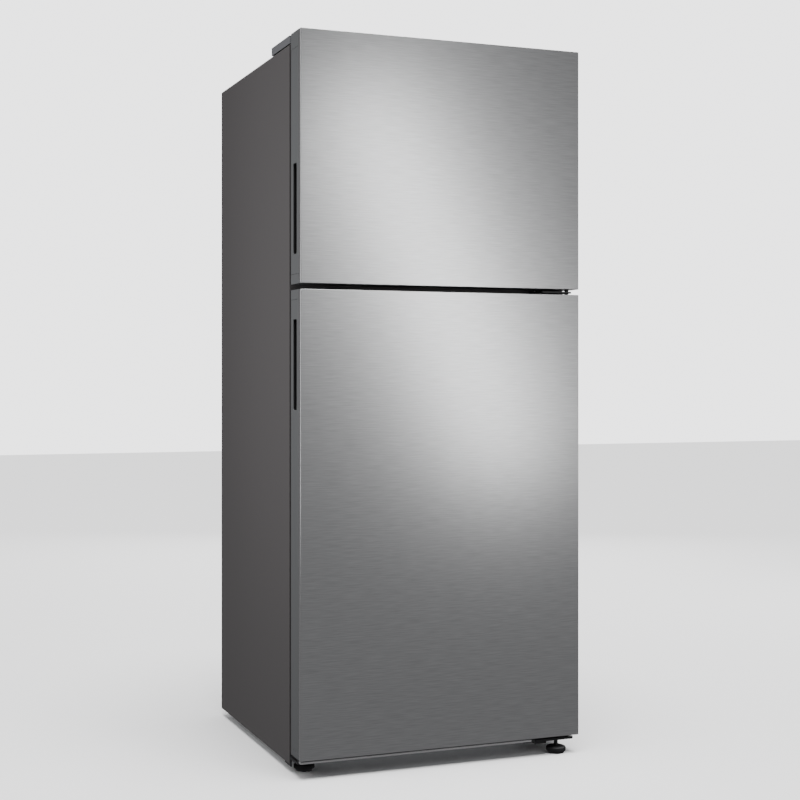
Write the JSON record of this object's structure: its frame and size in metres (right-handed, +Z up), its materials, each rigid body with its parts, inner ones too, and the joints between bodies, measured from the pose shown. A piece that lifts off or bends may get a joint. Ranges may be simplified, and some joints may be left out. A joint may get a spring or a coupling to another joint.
{
  "type": "top freezer refrigerator",
  "caption": "Free-standing refrigerator with a freezer door above a taller fridge door, side handle slots, shelves, drawers, door bins, levelling feet and rear rollers.",
  "frame": {"origin": "on the floor, mid-way across and mid-way from the door fronts to the rear panel", "axes": "+X to the user's right, -Y out of the front, +Z up"},
  "size_m": [0.7, 0.7, 1.685],
  "materials": {
    "cabinet_paint": "fine satin paint",
    "galvanised_sheet": "plain coated sheet",
    "black_plastic": "matt moulded",
    "white_plastic": "vacuum formed, satin",
    "insulation_foam": "rigid foam",
    "cover_grey": "fine texture",
    "hinge_steel": "zinc plated",
    "black_steel": "black coated",
    "compressor_enamel": "black enamel",
    "fin_aluminium": "bare",
    "shelf_glass": "clear",
    "clear_plastic": "clear moulded",
    "brushed_steel": "horizontal brush, satin",
    "door_side_grey": "satin paint",
    "strip_grey": "satin moulded",
    "gasket_grey": "soft, matt"
  },
  "bodies": {
    "cabinet": {"outer_shell": "cabinet_paint", "rear_panel": "galvanised_sheet", "compressor_cover": "black_plastic", "power_inlet": "black_plastic", "freezer_liner": "white_plastic", "fridge_liner": "white_plastic", "centre_rail": "cabinet_paint", "cabinet_insulation": "insulation_foam", "top_cover": "cover_grey", "top_hinge": "hinge_steel", "middle_hinge": "black_steel", "bottom_hinge": "black_steel", "leg_bracket": "black_steel", "base_pan": "galvanised_sheet", "compressor": "compressor_enamel", "drain_pan": "black_plastic", "condenser": "compressor_enamel", "condenser_fan_motor": "black_plastic", "evaporator_cover": "white_plastic", "evaporator": "fin_aluminium", "evaporator_fan_motor": "black_plastic", "freezer_shelf": "shelf_glass", "ice_maker_frame": "white_plastic", "air_duct": "white_plastic", "control_box": "white_plastic", "fridge_shelf_upper": "shelf_glass", "fridge_shelf_lower": "shelf_glass", "crisper_cover": "shelf_glass"},
    "freezer_door": {"freezer_door_front_panel": "brushed_steel", "freezer_door_handle_trim": "door_side_grey", "freezer_door_hinge_trim": "door_side_grey", "freezer_door_handle_pocket": "black_plastic", "freezer_door_top_cap": "door_side_grey", "freezer_door_bottom_cap": "door_side_grey", "freezer_door_liner": "white_plastic", "freezer_door_gasket": "gasket_grey", "freezer_bin_lower": "clear_plastic", "freezer_bin_upper": "clear_plastic"},
    "fridge_door": {"fridge_door_front_panel": "brushed_steel", "fridge_door_handle_trim": "door_side_grey", "fridge_door_hinge_trim": "door_side_grey", "fridge_door_handle_pocket": "black_plastic", "fridge_door_top_cap": "door_side_grey", "fridge_door_bottom_cap": "strip_grey", "fridge_door_liner": "white_plastic", "fridge_door_gasket": "gasket_grey", "fridge_bin_lower": "clear_plastic", "fridge_bin_middle": "clear_plastic", "fridge_bin_upper": "clear_plastic"},
    "crisper_left": {"crisper_left": "clear_plastic"},
    "crisper_right": {"crisper_right": "clear_plastic"},
    "ice_bin": {"ice_bin": "clear_plastic"},
    "ice_tray": {"ice_tray": "clear_plastic"},
    "temperature_knob": {"temperature_knob": "cover_grey"},
    "front_foot_left": {"front_foot_left": "black_plastic"},
    "front_foot_right": {"front_foot_right": "black_plastic"},
    "rear_roller_left": {"rear_roller_left": "black_plastic"},
    "rear_roller_right": {"rear_roller_right": "black_plastic"},
    "condenser_fan": {"condenser_fan": "black_plastic"},
    "evaporator_fan": {"evaporator_fan": "black_plastic"}
  },
  "joints": [
    {"name": "freezer_door_swing", "type": "hinge", "parent": "cabinet", "child": "freezer_door", "pos_m": [0.334, -0.317, 1.114], "axis": [0, 0, 1], "range_deg": [0, 120]},
    {"name": "fridge_door_swing", "type": "hinge", "parent": "cabinet", "child": "fridge_door", "pos_m": [0.334, -0.317, 0.037], "axis": [0, 0, 1], "range_deg": [0, 120]},
    {"name": "crisper_left_slide", "type": "slide", "parent": "cabinet", "child": "crisper_left", "axis": [0, -1, 0], "range_m": [0, 0.24]},
    {"name": "crisper_right_slide", "type": "slide", "parent": "cabinet", "child": "crisper_right", "axis": [0, -1, 0], "range_m": [0, 0.24]},
    {"name": "ice_bin_slide", "type": "slide", "parent": "cabinet", "child": "ice_bin", "axis": [0, -1, 0], "range_m": [0, 0.19]},
    {"name": "ice_tray_twist", "type": "hinge", "parent": "cabinet", "child": "ice_tray", "pos_m": [-0.216, 0, 1.276], "axis": [0, 1, 0], "range_deg": [0, 150], "stiffness_Nm_per_rad": 0.05},
    {"name": "temperature_knob_turn", "type": "hinge", "parent": "cabinet", "child": "temperature_knob", "pos_m": [-0.07, -0.124, 1.06085], "axis": [0, -1, 0], "range_deg": [0, 270]},
    {"name": "front_foot_left_turn", "type": "hinge", "parent": "cabinet", "child": "front_foot_left", "pos_m": [-0.312, -0.256, 0], "axis": [0, 0, 1], "range_deg": [-360, 360]},
    {"name": "front_foot_right_turn", "type": "hinge", "parent": "cabinet", "child": "front_foot_right", "pos_m": [0.302, -0.323, 0], "axis": [0, 0, 1], "range_deg": [-360, 360]},
    {"name": "rear_roller_left_roll", "type": "hinge", "parent": "cabinet", "child": "rear_roller_left", "pos_m": [-0.29, 0.3, 0.013], "axis": [1, 0, 0], "continuous": true},
    {"name": "rear_roller_right_roll", "type": "hinge", "parent": "cabinet", "child": "rear_roller_right", "pos_m": [0.29, 0.3, 0.013], "axis": [1, 0, 0], "continuous": true},
    {"name": "condenser_fan_spin", "type": "hinge", "parent": "cabinet", "child": "condenser_fan", "pos_m": [-0.134, 0.247, 0.117], "axis": [1, 0, 0], "continuous": true},
    {"name": "evaporator_fan_spin", "type": "hinge", "parent": "cabinet", "child": "evaporator_fan", "pos_m": [0, 0.252, 1.496], "axis": [0, 1, 0], "continuous": true}
  ],
  "couplings": [
    {"joint": "crisper_left_slide", "follows": "fridge_door_swing", "m_per_rad": 0.1145},
    {"joint": "crisper_right_slide", "follows": "fridge_door_swing", "m_per_rad": 0.1145},
    {"joint": "ice_bin_slide", "follows": "freezer_door_swing", "m_per_rad": 0.0907}
  ]
}
